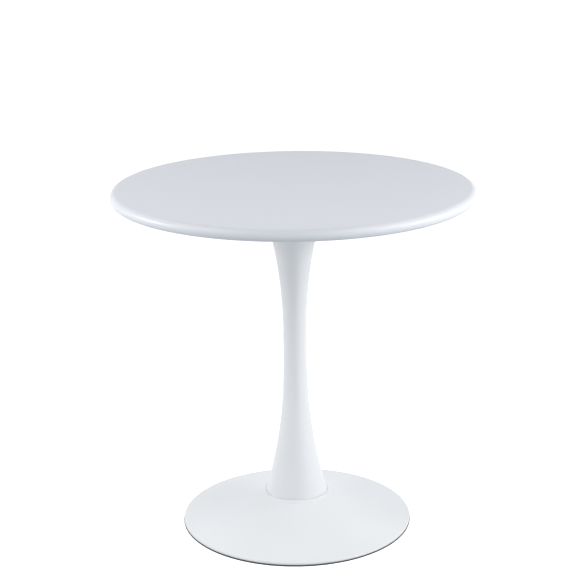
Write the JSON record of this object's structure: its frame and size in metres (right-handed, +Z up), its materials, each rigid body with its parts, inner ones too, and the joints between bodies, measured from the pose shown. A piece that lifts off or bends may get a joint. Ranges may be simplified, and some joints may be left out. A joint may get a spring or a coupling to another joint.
{
  "type": "round pedestal table",
  "caption": "Round dining table: flat top with a full round edge, on a waisted trumpet column that stands on a wide flared foot.",
  "frame": {"origin": "on the floor, under the middle of the column", "axes": "+Z up the column; X and Y are level, and the table looks the same from every side"},
  "size_m": [0.762, 0.7618, 0.749],
  "materials": {
    "top_lacquer": "satin",
    "white_powder_coat": "satin",
    "black_primer": "matte",
    "zinc_plated_steel": "satin",
    "bare_steel": "satin",
    "brass_insert": "satin",
    "black_rubber": "matte"
  },
  "bodies": {
    "root": {"table_top": "top_lacquer", "threaded_inserts": "brass_insert", "mounting_plate": "white_powder_coat", "plate_bolts": "zinc_plated_steel", "top_washers": "zinc_plated_steel", "top_spring_washers": "zinc_plated_steel", "top_screws": "zinc_plated_steel", "column_shell": "white_powder_coat", "column_top_disc": "bare_steel", "column_top_nuts": "bare_steel", "column_foot_disc": "bare_steel", "column_foot_nuts": "bare_steel", "base_shell": "white_powder_coat", "weight_plate": "black_primer", "rubber_ring": "black_rubber", "base_washers": "zinc_plated_steel", "base_spring_washers": "zinc_plated_steel", "base_bolts": "zinc_plated_steel"}
  },
  "joints": []
}
